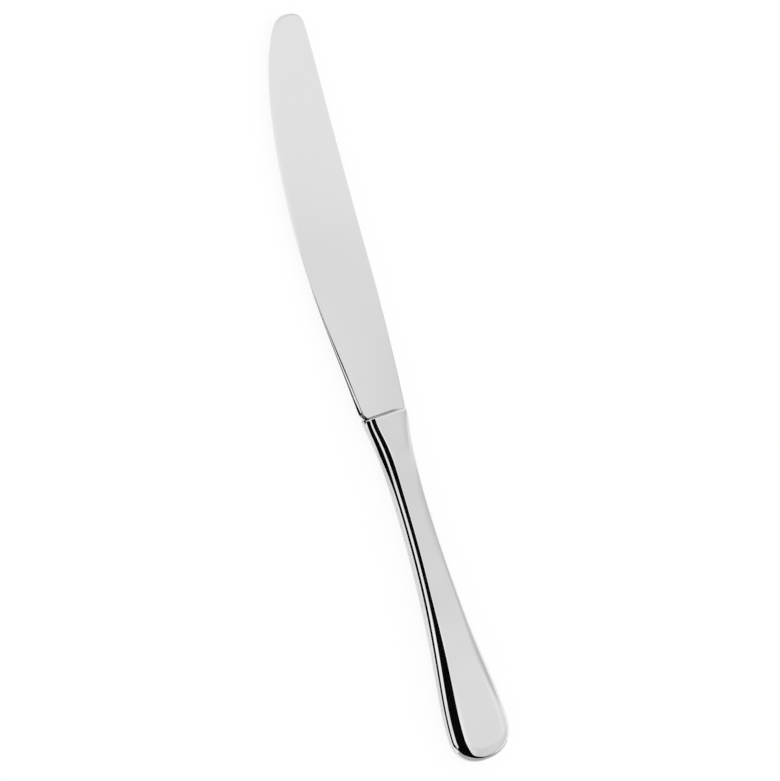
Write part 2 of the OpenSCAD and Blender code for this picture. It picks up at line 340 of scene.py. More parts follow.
def matteFill(name):
    fill, finish = fills[name], fillFinish
    material, tree, shader = newMaterial(name)
    shader.inputs["Roughness"].default_value = finish["roughness"]
    position = tree.nodes.new("ShaderNodeTexCoord").outputs["Object"]
    grain = noiseOn(tree, position, fill["grainScale"], finish["grainDetail"])
    ramp = tree.nodes.new("ShaderNodeValToRGB")
    for stop, shade, spot in zip(ramp.color_ramp.elements, ("dark", "light"), finish["grainSpan"]):
        stop.color = (*fill[shade], 1)
        stop.position = spot
    tree.links.new(grain, ramp.inputs[0])
    tree.links.new(ramp.outputs[0], shader.inputs["Base Color"])
    addBump(tree, shader, grain, finish["bumpStrength"], finish["bumpDepth"])
    return material


# the blade and the handle both get painted shade where they meet
bladeSteel = polishedSteel("bladeSteel", withPaintedShade=True)
handleSteel = polishedSteel("handleSteel", withPaintedShade=True, paintedLight=handlePaintedLight)
seamMetal = polishedSteel("seamMetal")
collarSteel = polishedSteel("collarSteel")
cementFill = matteFill("cementFill")
handleFill = matteFill("handleFill")
print("materials made")


handle = {
    "length": 110.3,
    "frontWidth": 14.6, "frontThickness": 8.2, "frontDepth": 7, "frontFlank": 2.4,
    "neckWidth": 9.9, "neckThickness": 7.4, "neckFlank": 2.2,
    "neckPlace": 29.5, "neckLength": 22,
    "buttWidth": 20.7, "buttThickness": 8.2, "buttFlank": 4.9,
    "buttRound": 9.6, "padLength": 10, "buttSquareness": 2.25,
    "flankSwell": 0.38, "swellPlace": 12, "swellReach": 11,    # wider flanks behind the shoulder
    "wall": 0.9, "frontEdge": 0.3, "seamGap": 0.1,
    "frontLeads": (0.22, 0.78), "neckLeads": (0.56, 0.22), "thicknessLeads": (0.35, 0.45),
    "spacing": 0.8,               # between the ribs along the handle
    "buttSteps": 44, "flankSteps": 26, "frontSteps": 5,
    "crownTilt": 4, "crownHeld": 30, "crownEnd": 66,     # the front's face is slightly domed across
    "crownPower": 4,              # an even number
    "flatShares": (0.02, 0.05, 0.09, 0.14, 0.2, 0.28, 0.38, 0.5, 0.62, 0.72, 0.8, 0.86, 0.91, 0.95, 0.98),
}


# Half the width, half the thickness and the flank's width along the handle
def handleLines():
    h = handle
    widest = h["length"] - h["buttRound"]
    widths = (levelCurve(0, h["frontWidth"] / 2, h["neckPlace"], h["neckWidth"] / 2, h["frontLeads"])
              + levelCurve(h["neckPlace"], h["neckWidth"] / 2, widest, h["buttWidth"] / 2, h["neckLeads"], 1))
    lines = [widths]
    thicknesses = [h[part + "Thickness"] / 2 for part in ("front", "neck", "butt")]
    flanks = [h[part + "Flank"] for part in ("front", "neck", "butt")]
    for (front, neck, butt), end in ((thicknesses, widest - h["padLength"]), (flanks, widest)):
        lines.append(
            levelCurve(h["frontDepth"], front, h["neckPlace"], neck, h["thicknessLeads"])
            + levelCurve(h["neckPlace"] + h["neckLength"], neck, end, butt, h["thicknessLeads"]))
    return lines


def crownAt(place, halfFace):
    h = handle
    share = min(max((place - h["crownHeld"]) / (h["crownEnd"] - h["crownHeld"]), 0), 1)
    fade = 1 - share * share * (3 - 2 * share)
    return math.tan(math.radians(h["crownTilt"])) * halfFace / h["crownPower"] * fade


# A section is [half width, place, outward normal x, y, half thickness, flank width, crown]
def handleSections():
    h = handle
    widest = h["length"] - h["buttRound"]
    lines = handleLines()
    steps = round(widest / h["spacing"])
    places = [h["frontEdge"] * (1 - math.cos(math.radians(90 * i / h["frontSteps"])))
              for i in range(h["frontSteps"] + 1)]
    places += [widest * i / steps for i in range(1, steps + 1)]
    sections = []
    for place in places:
        halfWidth, thickness, flank = [lookup(line, place) for line in lines]
        flank += h["flankSwell"] * math.exp(-((place - h["swellPlace"]) / h["swellReach"]) ** 2)
        sections.append([halfWidth, place, 1.0, 0.0, thickness, flank, crownAt(place, halfWidth - flank)])
    power = h["buttSquareness"]
    for i in range(1, h["buttSteps"] + 1):
        turn = math.radians(90 * i / h["buttSteps"])
        x = squared(math.cos(turn), power) if i < h["buttSteps"] else 0.0
        y = squared(math.sin(turn), power)
        normalX = x ** (power - 1) / h["buttWidth"] * 2
        normalY = y ** (power - 1) / h["buttRound"]
        size = math.hypot(normalX, normalY)
        sections.append([x * h["buttWidth"] / 2, widest + y * h["buttRound"], normalX / size, normalY / size,
                         h["buttThickness"] / 2, h["buttFlank"], 0.0])
    return sections


# The handle's outline seen from above, without the rounding of its front edge: half width, place,
# outward normal x, y
def handleOutline():
    return [section[:4] for section in handleSections() if not 0 < section[1] < handle["frontEdge"]]


def handleRib(section, inset, side, base):
    halfWidth, place, normalX, normalY, thickness, flank, crown = section
    top = thickness - crown - inset
    steps = handle["flankSteps"]
    points = []
    for i in range(steps + 1):
        turn = math.radians(90 * i / steps)
        cosine = 0.0 if i == steps else math.cos(turn)
        inwards = inset + (flank - inset) * (1 - cosine)
        points.append((
            side * (halfWidth - normalX * inwards),
            -place + normalY * inwards,
            base + (top - base) * math.sin(turn)))
    return points


# One skin, from the seam on the spine side over the flat face to the seam on the edge side,
# and round the butt: each row runs right across
def skinRows(sections, insets, base):
    rows = []
    for section, inset in zip(sections, insets):
        right = handleRib(section, inset, 1, base)
        left = handleRib(section, inset, -1, base)
        a, b = Vector(right[-1]), Vector(left[-1])
        flat = []
        for share in handle["flatShares"]:
            spot = a.lerp(b, share)
            dome = section[6] * (1 - (2 * share - 1) ** handle["crownPower"])
            flat.append((spot.x, spot.y, spot.z + dome))
        rows.append(right + flat + left[::-1])
    return rows


def halfShell(upper):
    h = handle
    sections = handleSections()
    base = h["seamGap"] / 2
    frontInsets = [h["frontEdge"] * (1 - math.sin(math.radians(90 * i / h["frontSteps"])))
                   for i in range(h["frontSteps"] + 1)]
    outerInsets = frontInsets + [0] * (len(sections) - len(frontInsets))
    outer = skinRows(sections, outerInsets, base)
    inner = skinRows(sections, [h["wall"]] * len(sections), base)
    rowLength = len(outer[0])
    rows = len(outer)
    points = [p for row in outer for p in row] + [p for row in inner for p in row]
    second = rows * rowLength
    faces = gridFaces(rows, rowLength) + gridFaces(rows, rowLength, second, True)
    for i in range(rows - 1):     # the rims along the seam, on both sides
        for j in (0, rowLength - 1):
            a, b = i * rowLength + j, (i + 1) * rowLength + j
            face = (a, b, second + b, second + a)
            faces.append(face if j == 0 else face[::-1])
    for j in range(rowLength - 1):     # the mouth
        faces.append((j, second + j, second + j + 1, j + 1))
    if not upper:
        points = [(x, y, -z) for x, y, z in points]
        faces = [face[::-1] for face in faces]
    return points, faces


for shellName, isUpper in (("handle_skin_upper", True), ("handle_skin_lower", False)):
    shellPoints, shellFaces = halfShell(isUpper)
    shell = makePiece(shellName, shellPoints, shellFaces, handleSteel)
    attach(shell, "root")
    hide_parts(shellName.replace("skin", "shell"))
print("handle skins made")


# Runs a Geometry Nodes tree on a curve or mesh, and keeps the result as a plain mesh
def bakeNodes(name, source, tree, inputs):
    modifier = source.modifiers.new(name, "NODES")
    modifier.node_group = tree
    for item in tree.interface.items_tree:
        if item.item_type == "SOCKET" and item.in_out == "INPUT" and item.name in inputs:
            modifier[item.identifier] = inputs[item.name]
    graph = bpy.context.evaluated_depsgraph_get()
    mesh = bpy.data.meshes.new_from_object(source.evaluated_get(graph), depsgraph=graph)
    source.modifiers.remove(modifier)
    mesh.name = name
    piece = bpy.data.objects.new(name, mesh)
    bpy.context.scene.collection.objects.link(piece)
    bpy.data.objects.remove(source)
    return piece


def pathObject(name, points):
    curve = bpy.data.curves.new(name, "CURVE")
    curve.dimensions = "3D"
    spline = curve.splines.new("POLY")
    spline.points.add(len(points) - 1)
    for spot, point in zip(spline.points, points):
        spot.co = (*toFrame(*point), 1)
    path = bpy.data.objects.new(name, curve)
    bpy.context.scene.collection.objects.link(path)
    return path


def newTree(name, sizes):
    tree = bpy.data.node_groups.new(name, "GeometryNodeTree")
    tree.interface.new_socket("Geometry", in_out="INPUT", socket_type="NodeSocketGeometry")
    for label in sizes:
        tree.interface.new_socket(label, in_out="INPUT", socket_type="NodeSocketFloat")
    tree.interface.new_socket("Metal", in_out="INPUT", socket_type="NodeSocketMaterial")
    tree.interface.new_socket("Geometry", in_out="OUTPUT", socket_type="NodeSocketGeometry")
    return tree, tree.nodes.new("NodeGroupInput"), tree.nodes.new("NodeGroupOutput")


# Ends a tree with real meshes in its metal
def endTree(tree, given, result, shape):
    real = tree.nodes.new("GeometryNodeRealizeInstances")
    paint = tree.nodes.new("GeometryNodeSetMaterial")
    tree.links.new(shape, real.inputs[0])
    tree.links.new(real.outputs[0], paint.inputs["Geometry"])
    tree.links.new(given.outputs["Metal"], paint.inputs["Material"])
    tree.links.new(paint.outputs[0], result.inputs[0])
    return tree


seam = {
    "height": 0.1,
    "recess": 0.012,          # the braze lies this far below the polished sheet
    "sharpAngle": 40,
}


def seamTree():
    tree, given, result = newTree("seamAlongOutline", ("Width", "Height"))
    link = tree.links.new
    section = tree.nodes.new("GeometryNodeCurvePrimitiveQuadrilateral")
    link(given.outputs["Width"], section.inputs["Width"])
    link(given.outputs["Height"], section.inputs["Height"])
    level = tree.nodes.new("GeometryNodeSetCurveNormal")
    level.mode = "Z_UP"
    link(given.outputs["Geometry"], level.inputs["Curve"])
    sweep = tree.nodes.new("GeometryNodeCurveToMesh")
    sweep.inputs["Fill Caps"].default_value = True
    link(level.outputs[0], sweep.inputs["Curve"])
    link(section.outputs[0], sweep.inputs["Profile Curve"])
    return endTree(tree, given, result, sweep.outputs[0])


def seamPath():
    middle = (handle["wall"] + seam["recess"]) / 2
    right = [(halfWidth - normalX * middle, -place + normalY * middle, 0)
             for halfWidth, place, normalX, normalY in handleOutline()]
    left = [(-x, y, z) for x, y, z in right[:-1]]
    return right + left[::-1]


braze = bakeNodes("seam_bead", pathObject("seamOutline", seamPath()), seamTree(), {
    "Width": (handle["wall"] - seam["recess"]) * mm,
    "Height": seam["height"] * mm,
    "Metal": seamMetal,
})
tidyMesh(braze.data, seam["sharpAngle"])
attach(braze, "root")
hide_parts("seam_braze")
print("seam made", [round(v / mm, 3) for v in braze.dimensions])

# Inside the handle the CAD's own solids show only in a cut, and keep their shapes
innerPieces = {"mouth_collar": collarSteel, "tang_cement": cementFill, "handle_fill": handleFill}
for nodeName, finish in innerPieces.items():
    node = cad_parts[nodeName]
    node.data.materials.clear()
    node.data.materials.append(finish)
print("inner pieces coloured")


blade = {
    "length": 124, "shoulderSpine": 7.2, "middleSpine": 9.8, "tipSpine": 12, "spineBendPlace": 45,
    "heelDepth": 7.6, "bellyDepth": 11.6, "bellyPlace": 52.5, "tipRadius": 5.6,
    "tipSquareness": 3,           # on the spine's side; the edge's side is round
    "heelCornerLength": 2.9, "heelCornerDepth": 1.6,
    "thickness": 3, "tipThickness": 1.3, "groundThickness": 0.7,
    "groundWidth": 1.25, "groundSlope": 0.08,
    # the borders' rounding: at the heel, along the cutting edge and along the spine
    "heelRound": 0.4, "edgeRound": 0.1, "spineRound": 0.7, "roundPower": 0.75,
    "roundSwell": 0.45, "swellPlace": 18, "swellReach": 10,      # more of it on the unsharpened edge
    "aftSpineLeads": (0.31, 0.34), "foreSpineLeads": (0.58, 0.14), "aftSpineRise": 0.5,
    "aftEdgeLeads": (0.27, 0.29), "aftEdgeRise": 0.42, "foreEdgeLeads": (0.41, 0.2),
    "bendSlope": 0.5, "tipTurn": 143,
    "slopeStep": 0.3,             # over which the slope of an outline is taken
    "squareLength": 3,            # near the shoulder the normals turn square to the knife's length
    "spacing": 0.9, "tipSteps": 30, "tipCrowding": 3,
    "heelSteps": 14, "roundSteps": 12, "stripSteps": 4,
    "meetingSteps": 6, "leastRun": 0.0001, "leastRise": 0.00001,
    "faceShares": (0.01, 0.05, 0.2, 0.4, 0.6, 0.8, 0.95, 0.99),
}


def bladeLines():
    b = blade
    slope = b["bendSlope"] * (b["tipSpine"] - b["shoulderSpine"]) / b["length"]
    centre = (b["length"] - b["tipRadius"], b["tipSpine"] - b["tipRadius"])
    turn = math.radians(b["tipTurn"])
    end = (centre[0] + b["tipRadius"] * math.sin(turn), centre[1] + b["tipRadius"] * math.cos(turn))
    bend, middle = b["spineBendPlace"], b["middleSpine"]
    foreLength = centre[0] - bend
    aftLead = b["aftSpineLeads"][1] * bend
    foreLead = b["foreSpineLeads"][0] * foreLength
    spine = bezierLine([
        (0, b["shoulderSpine"]),
        (b["aftSpineLeads"][0] * bend, mix(b["shoulderSpine"], middle, b["aftSpineRise"])),
        (bend - aftLead, middle - aftLead * slope),
        (bend, middle)])
    spine += bezierLine([
        (bend, middle),
        (bend + foreLead, middle + foreLead * slope),
        (centre[0] - b["foreSpineLeads"][1] * foreLength, b["tipSpine"]),
        (centre[0], b["tipSpine"])], first=1)
    belly, deep = b["bellyPlace"], b["bellyDepth"]
    edgeLength = end[0] - belly
    reach = b["foreEdgeLeads"][1] * edgeLength
    edge = bezierLine([
        (0, -b["heelDepth"]),
        (b["aftEdgeLeads"][0] * belly, -mix(b["heelDepth"], deep, b["aftEdgeRise"])),
        (belly * (1 - b["aftEdgeLeads"][1]), -deep),
        (belly, -deep)])
    edge += bezierLine([
        (belly, -deep),
        (belly + b["foreEdgeLeads"][0] * edgeLength, -deep),
        (end[0] + reach * math.cos(turn), end[1] - reach * math.sin(turn)),
        end], first=1)
    return spine, edge, centre, end


spineLine, edgeLine, tipCentre, tipEnd = bladeLines()


def heelCorner(place):
    if place >= blade["heelCornerLength"]:
        return 0
    return blade["heelCornerDepth"] * (1 - math.sqrt(1 - (1 - place / blade["heelCornerLength"]) ** 2))


# Distance of an outline from the axis, and its outward normal, on the spine's or the edge's side
def outlineAt(side, place):
    if place > (tipCentre[0] if side > 0 else tipEnd[0]):
        power = blade["tipSquareness"] if side > 0 else 2
        rise = min((place - tipCentre[0]) / blade["tipRadius"], 1)
        across = max(1 - rise ** power, 0) ** (1 / power) if rise > 0 else math.sqrt(1 - rise * rise)
        normalX, normalY = across ** (power - 1), abs(rise) ** (power - 1) * (1 if rise > 0 else -1)
        size = math.hypot(normalX, normalY)
        return tipCentre[1] + side * across * blade["tipRadius"], (side * normalX / size, normalY / size)
    line = spineLine if side > 0 else edgeLine
    before, after = max(place - blade["slopeStep"], 0), place + blade["slopeStep"]
    slope = (lookup(line, after) - lookup(line, before)) / (after - before)
    slope *= min(place / blade["squareLength"], 1)
    size = math.hypot(1, slope)
    corner = heelCorner(place) if side < 0 else 0
    return lookup(line, place) + corner, (side / size, -side * slope / size)


def groundShare(place):
    return min(place / blade["bellyPlace"], 1)


def faceHeight(x, place):
    held = min(max(place, 0), tipCentre[0])
    low, high = lookup(edgeLine, held), lookup(spineLine, held)
    land = mix(blade["thickness"], blade["groundThickness"],
               math.sin(math.pi / 2 * groundShare(place)))
    back = mix(blade["thickness"], blade["tipThickness"], min(place, blade["length"]) / blade["length"])
    share = min(max((x - low) / (high - low), 0), 1)
    return min(mix(land, back, share), back) / 2


# The upper half of the rounded border: [inset, height] from half way through the thickness upwards
def borderProfile(side, place, x, normal):
    share = groundShare(place)
    tipShare = 0.0
    if place > tipCentre[0]:
        turn = math.degrees(math.asin(min((place - tipCentre[0]) / blade["tipRadius"], 1)))
        tipShare = 0.5 * (turn / 90) ** 2     # both borders meet half way at the very tip
    spineRound = blade["spineRound"]
    swell = blade["roundSwell"] * math.exp(-((place - blade["swellPlace"]) / blade["swellReach"]) ** 2)
    edgeReach = mix(blade["heelRound"], blade["edgeRound"], share ** blade["roundPower"]) + swell
    edgeWidth = max(mix(blade["heelRound"], blade["groundWidth"], share), edgeReach)
    blend = tipShare if side < 0 else 1 - tipShare
    width = mix(edgeWidth, spineRound, blend)
    reach = mix(edgeReach, spineRound, blend)
    top = faceHeight(x - normal[0] * width, place - normal[1] * width)
    edgeTop = top - blade["groundSlope"] * (edgeWidth - edgeReach)
    straight = mix(0, top - min(spineRound, top), blend)
    roundHeight = min(mix(edgeTop, min(spineRound, top), blend), top - straight)
    end = math.pi / 2
    for _ in range(blade["meetingSteps"]):     # the rounding ends where it runs into the ground strip
        run = width - reach * (1 - math.cos(end))
        rise = top - straight - roundHeight * math.sin(end)
        if run < blade["leastRun"] or rise < blade["leastRise"]:     # no strip is left
            end = math.pi / 2
            break
        end = math.atan2(roundHeight * run, reach * rise)
    profile = [(0, 0), (0, straight * 0.5)]
    for i in range(blade["roundSteps"] + 1):
        turn = end * i / blade["roundSteps"]
        profile.append((reach * (1 - math.cos(turn)), straight + roundHeight * math.sin(turn)))
    inset, height = profile[-1]
    for i in range(1, blade["stripSteps"] + 1):
        part = i / blade["stripSteps"]
        profile.append((mix(inset, width, part), mix(height, top, part)))
    return profile


# Close together round the heel's corner and at the tip
def bladePlaces():
    corner = blade["heelCornerLength"]
    places = [corner * (1 - math.cos(math.pi / 2 * i / blade["heelSteps"]))
              for i in range(blade["heelSteps"] + 1)]
    steps = round((tipCentre[0] - corner) / blade["spacing"])
    places += [mix(corner, tipCentre[0], i / steps) for i in range(1, steps + 1)]
    places += [tipCentre[0] + blade["tipRadius"] * (1 - (1 - i / blade["tipSteps"]) ** blade["tipCrowding"])
               for i in range(1, blade["tipSteps"] + 1)]
    return places


def bladeRow(place):
    ribs = []
    for side in (-1, 1):
        x, normal = outlineAt(side, place)
        ribs.append([(x - normal[0] * inset, place - normal[1] * inset, height)
                     for inset, height in borderProfile(side, place, x, normal)])
    a, b = Vector(ribs[0][-1]), Vector(ribs[1][-1])
    flat = []
    for share in blade["faceShares"]:
        spot = a.lerp(b, share)
        flat.append((spot.x, spot.y, faceHeight(spot.x, spot.y)))
    return ribs[0] + flat + ribs[1][::-1]


def bladeBody():
    rows = [bladeRow(place) for place in bladePlaces()]
    columns = len(rows[0])
    upper = [point for row in rows for point in row]
    lower = [(x, y, -z) for x, y, z in upper]
    count = len(upper)
    faces = gridFaces(len(rows), columns) + gridFaces(len(rows), columns, count, True)
    for j in range(columns - 1):
        faces.append((j, j + 1, count + j + 1, count + j))
    return upper + lower, faces


tang = {
    "length": 44, "width": 7.4, "endWidth": 5, "thickness": 2.2,
    "root": 2,                # how far it runs into the blade
    "notchRadius": 0.8, "notchCount": 3, "notchSteps": 12,
}


def tangBody():
    t = tang
    half, halfEnd = t["width"] / 2, t["endWidth"] / 2
    pitch = t["length"] / (t["notchCount"] + 1)
    side = [(half, t["root"]), (half, 0)]
    lean = math.atan2(half - halfEnd, t["length"])
    for i in range(1, t["notchCount"] + 1):
        x, y = mix(half, halfEnd, i / (t["notchCount"] + 1)), -i * pitch
        for k in range(t["notchSteps"] + 1):
            turn = math.pi / 2 - lean + math.pi * k / t["notchSteps"]
            side.append((x + t["notchRadius"] * math.cos(turn), y + t["notchRadius"] * math.sin(turn)))
    side.append((halfEnd, -t["length"]))
    outline = side + [(-x, y) for x, y in side[::-1]]
    count = len(outline)
    points = [(x, y, z) for z in (t["thickness"] / 2, -t["thickness"] / 2) for x, y in outline]
    faces = [tuple(range(count)), tuple(range(2 * count - 1, count - 1, -1))]
    for i in range(count):
        j = (i + 1) % count
        faces.append((i, count + i, count + j, j))
    return points, faces


bladePiece = makePiece("blade_body", *bladeBody(), bladeSteel)
tangPiece = makePiece("tangBody", *tangBody(), bladeSteel)
join = bladePiece.modifiers.new("tang", "BOOLEAN")
join.operation = "UNION"
join.solver = "EXACT"
join.object = tangPiece
evaluated = bpy.context.evaluated_depsgraph_get()
joined = bpy.data.meshes.new_from_object(bladePiece.evaluated_get(evaluated), depsgraph=evaluated)
bladePiece.modifiers.clear()
bladePiece.data = joined
joined.set_sharp_from_angle(angle=math.radians(meshTidy["sharpAngle"]))
bpy.data.objects.remove(tangPiece)
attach(bladePiece, "root")
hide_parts("blade")
print("blade made,", len(joined.polygons), "faces")


teeth = {
    "firstPlace": 52, "lastPlace": 118, "pathSteps": 160,
    "pitch": 0.8,
    "length": 0.85, "width": 0.5, "height": 0.03,
    "inset": 0.12,            # from the cutting edge to the ridges' outer ends
    "lowest": 0.26,           # height of the ridges' outer ends over the middle of the blade
    "pointsAlong": 4, "pointsAcross": 5,
}


def toothTree():
    sizes = ("Pitch", "Length", "Width", "Height", "Rise")
    tree, given, result = newTree("teethAlongEdge", sizes)
    link = tree.links.new
    spread = tree.nodes.new("GeometryNodeResampleCurve")
    spread.mode = "LENGTH"
    link(given.outputs["Geometry"], spread.inputs["Curve"])
    link(given.outputs["Pitch"], spread.inputs["Length"])
    tangent = tree.nodes.new("GeometryNodeInputTangent")
    turn = tree.nodes.new("FunctionNodeAlignEulerToVector")
    turn.axis = "Y"
    turn.pivot_axis = "Z"
    link(tangent.outputs[0], turn.inputs["Vector"])
    ridge = tree.nodes.new("GeometryNodeMeshGrid")
    ridge.inputs["Vertices X"].default_value = teeth["pointsAlong"]
    ridge.inputs["Vertices Y"].default_value = teeth["pointsAcross"]
    link(given.outputs["Length"], ridge.inputs["Size X"])
    link(given.outputs["Width"], ridge.inputs["Size Y"])
    place = tree.nodes.new("GeometryNodeInputPosition")
    split = tree.nodes.new("ShaderNodeSeparateXYZ")
    link(place.outputs[0], split.inputs[0])
    # a ridge's crest runs inwards, falls to nothing at its sides and fades at its inner end
    across = mathNode(tree, "DIVIDE", split.outputs["Y"], given.outputs["Width"])
    fall = mathNode(tree, "MULTIPLY", mathNode(tree, "ABSOLUTE", across), 2.0)
    hump = mathNode(tree, "MAXIMUM", mathNode(tree, "SUBTRACT", 1, fall), 0)
    along = mathNode(tree, "ADD", mathNode(tree, "DIVIDE", split.outputs["X"], given.outputs["Length"]), 0.5)
    fade = mathNode(tree, "SUBTRACT", 1, mathNode(tree, "POWER", along, 2.0))
    crest = mathNode(tree, "MULTIPLY", mathNode(tree, "MULTIPLY", hump, fade), given.outputs["Height"])
    slope = mathNode(tree, "MULTIPLY", along, given.outputs["Rise"])
    lift = tree.nodes.new("ShaderNodeCombineXYZ")
    link(mathNode(tree, "MULTIPLY", given.outputs["Length"], 0.5), lift.inputs["X"])
    link(mathNode(tree, "ADD", crest, slope), lift.inputs["Z"])
    bend = tree.nodes.new("GeometryNodeSetPosition")
    link(ridge.outputs["Mesh"], bend.inputs["Geometry"])
    link(lift.outputs[0], bend.inputs["Offset"])
    copies = tree.nodes.new("GeometryNodeInstanceOnPoints")
    link(spread.outputs[0], copies.inputs["Points"])
    link(bend.outputs[0], copies.inputs["Instance"])
    link(turn.outputs[0], copies.inputs["Rotation"])
    return endTree(tree, given, result, copies.outputs[0])


def toothPath():
    points = []
    for i in range(teeth["pathSteps"] + 1):
        place = mix(teeth["firstPlace"], teeth["lastPlace"], i / teeth["pathSteps"])
        x, normal = outlineAt(-1, place)
        points.append((x - normal[0] * teeth["inset"], place - normal[1] * teeth["inset"],
                       teeth["lowest"]))
    return points


serration = bakeNodes("edge_teeth", pathObject("toothLine", toothPath()), toothTree(), {
    "Pitch": teeth["pitch"] * mm,
    "Length": teeth["length"] * mm,
    "Width": teeth["width"] * mm,
    "Height": teeth["height"] * mm,
    "Rise": blade["groundSlope"] * teeth["length"] * mm,
    "Metal": bladeSteel,
})
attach(serration, "root")
print("edge teeth made,", len(serration.data.polygons), "faces")


studio = {
    "floorSize": 6.0,
    "floorGap": 0.00002,          # under the flat that the knife rests on
    "floorWhite": 0.86,
    "floorGlow": 0.86,            # what the camera sees of the floor without its shadow
    "floorMirrored": 0.24,        # added for all that isn't the camera
}


def stagePiece(name, points, faces, material):
    mesh = bpy.data.meshes.new(name)
    mesh.from_pydata(points, [], faces)
    mesh.update()
    mesh.materials.append(material)
    piece = bpy.data.objects.new(name, mesh)
    bpy.context.scene.collection.objects.link(piece)
    return piece


def floorMaterial():
    material, tree, output = blankMaterial("paleFloor")
    plain = tree.nodes.new("ShaderNodeBsdfDiffuse")
    plain.inputs[0].default_value = (*[studio["floorWhite"]] * 3, 1)
    lift = tree.nodes.new("ShaderNodeEmission")
    lift.inputs["Strength"].default_value = studio["floorMirrored"]
    lifted = tree.nodes.new("ShaderNodeAddShader")
    tree.links.new(plain.outputs[0], lifted.inputs[0])
    tree.links.new(lift.outputs[0], lifted.inputs[1])
    shaded = tree.nodes.new("ShaderNodeBsdfDiffuse")
    shaded.inputs[0].default_value = (*[1 - studio["floorGlow"]] * 3, 1)
    glow = tree.nodes.new("ShaderNodeEmission")
    glow.inputs["Strength"].default_value = studio["floorGlow"]
    both = tree.nodes.new("ShaderNodeAddShader")
    choose = tree.nodes.new("ShaderNodeMixShader")
    path = tree.nodes.new("ShaderNodeLightPath")
    tree.links.new(shaded.outputs[0], both.inputs[0])
    tree.links.new(glow.outputs[0], both.inputs[1])
    tree.links.new(path.outputs["Is Camera Ray"], choose.inputs[0])
    tree.links.new(lifted.outputs[0], choose.inputs[1])
    tree.links.new(both.outputs[0], choose.inputs[2])
    tree.links.new(choose.outputs[0], output.inputs[0])
    return material


def makeFloor():
    half = studio["floorSize"] / 2
    under = -studio["floorGap"]
    corners = [(-half, -half, under), (half, -half, under), (half, half, under), (-half, half, under)]
    stagePiece("floor", corners, [(0, 1, 2, 3)], floorMaterial())


makeFloor()

# Black and grey cards, as in a product studio, and cards of painted shade that stand in for the table's
# shadow: only the polished steel sees them. Lengths are millimetres in the knife's own coordinates, and turns
# are degrees about the knife's length from the spine's side.
cardLook = {
    "black": 0.002,
    "blackHeight": 0.6,           # over the table, of the black cards that lie on it
    "greyHeight": 0.3,            # and of the grey ones
}


def studioCard(name, points, faces, level):
    material, _, shader = newMaterial(name)
    shader.inputs["Base Color"].default_value = (*[level] * 3, 1)
    shader.inputs["Roughness"].default_value = 1
    shader.inputs["Specular IOR Level"].default_value = 0
    card = stagePiece(name, [tuple(toFrame(*point)) for point in points], faces, material)
    card.visible_camera = False
    card.visible_diffuse = False
    card.visible_shadow = False
    card.visible_transmission = False


# A flat card with one outline
def flatCard(name, points):
    studioCard(name, points, [tuple(range(len(points)))], cardLook["black"])


# A strip whose points come in pairs, a near and a far one
def stripCard(name, points, level):
    studioCard(name, points, gridFaces(len(points) // 2, 2), level)


def overTable(height):
    return height - knifePlace["axisHeight"]


sideCard = {
    "axisX": -8, "axisZ": 4, "radius": 70, "steps": 24,
    # places along the knife, with the turns of the card's upper and its lower edge there
    "edges": (
        (54, 98.5, 166.2), (-138, 98.5, 166.2), (-147, 98.5, 190), (-167, 98.5, 190), (-200, 98.5, 190)),
}


# A bowed card along the left of the knife, which comes down to the table beside the butt
def makeSideCard():
    c = sideCard
    points = []
    for place, upper, lower in c["edges"]:
        for i in range(c["steps"] + 1):
            turn = math.radians(mix(upper, lower, i / c["steps"]))
            points.append((
                c["axisX"] + c["radius"] * math.cos(turn), place, c["axisZ"] + c["radius"] * math.sin(turn)))
    studioCard("sideCard", points, gridFaces(len(c["edges"]), c["steps"] + 1), cardLook["black"])


makeSideCard()

# An upright card behind the butt
endCard = {
    "place": -200,
    "outline": (
        (-82, -4), (-60, 2), (-38, 9), (-20, 9), (3, 5), (18, 0), (32, -4), (60, -4), (60, 3), (45, 6),
        (32, 13), (18, 27), (3, 37), (-10.4, 53), (-18, 76), (-48, 69), (-68, 53), (-80, 30), (-82, 4)),
}
flatCard("endCard", [(x, endCard["place"], z) for x, z in endCard["outline"]])

lowCard = {
    # how near to the handle's outline the card starts and how far it reaches
    "near": 6.3, "far": 23,
    "frontPlace": 12.5, "frontSpan": 12, "frontNear": 2.8, "frontFar": 300,
    "buttPlace": 103.5, "buttSpan": 3.2, "buttNear": 40, "buttFar": 95,
    "lastNormal": 0.62,           # it ends where the outline has turned this far towards the butt
}


# A card on the table along the handle, on the edge's side
def makeLowCard():
    c = lowCard
    height = overTable(cardLook["blackHeight"])
    points = []
    for halfWidth, place, normalX, normalY in handleOutline():
        if normalY > c["lastNormal"]:
            break
        frontShare = max(1 - abs(place - c["frontPlace"]) / c["frontSpan"], 0)
        buttShare = min(max((place - c["buttPlace"]) / c["buttSpan"], 0), 1)
        near = mix(mix(c["near"], c["frontNear"], frontShare), c["buttNear"], buttShare ** 2)
        far = mix(mix(c["far"], c["frontFar"], frontShare), c["buttFar"], buttShare)
        for away in (near, far):
            points.append((-halfWidth - normalX * away, -place - normalY * away, height))
    stripCard("lowCard", points, cardLook["black"])


makeLowCard()

heelShadowCard = {
    "start": 0.6, "end": 45, "steps": 40,
    "near": 0.5, "far": 3.2,
    "thinFrom": 8, "thinPower": 0.7,      # from here on it thins out to nothing
    "heelSpan": 7, "heelNear": -1, "heelFar": 5.4,
}


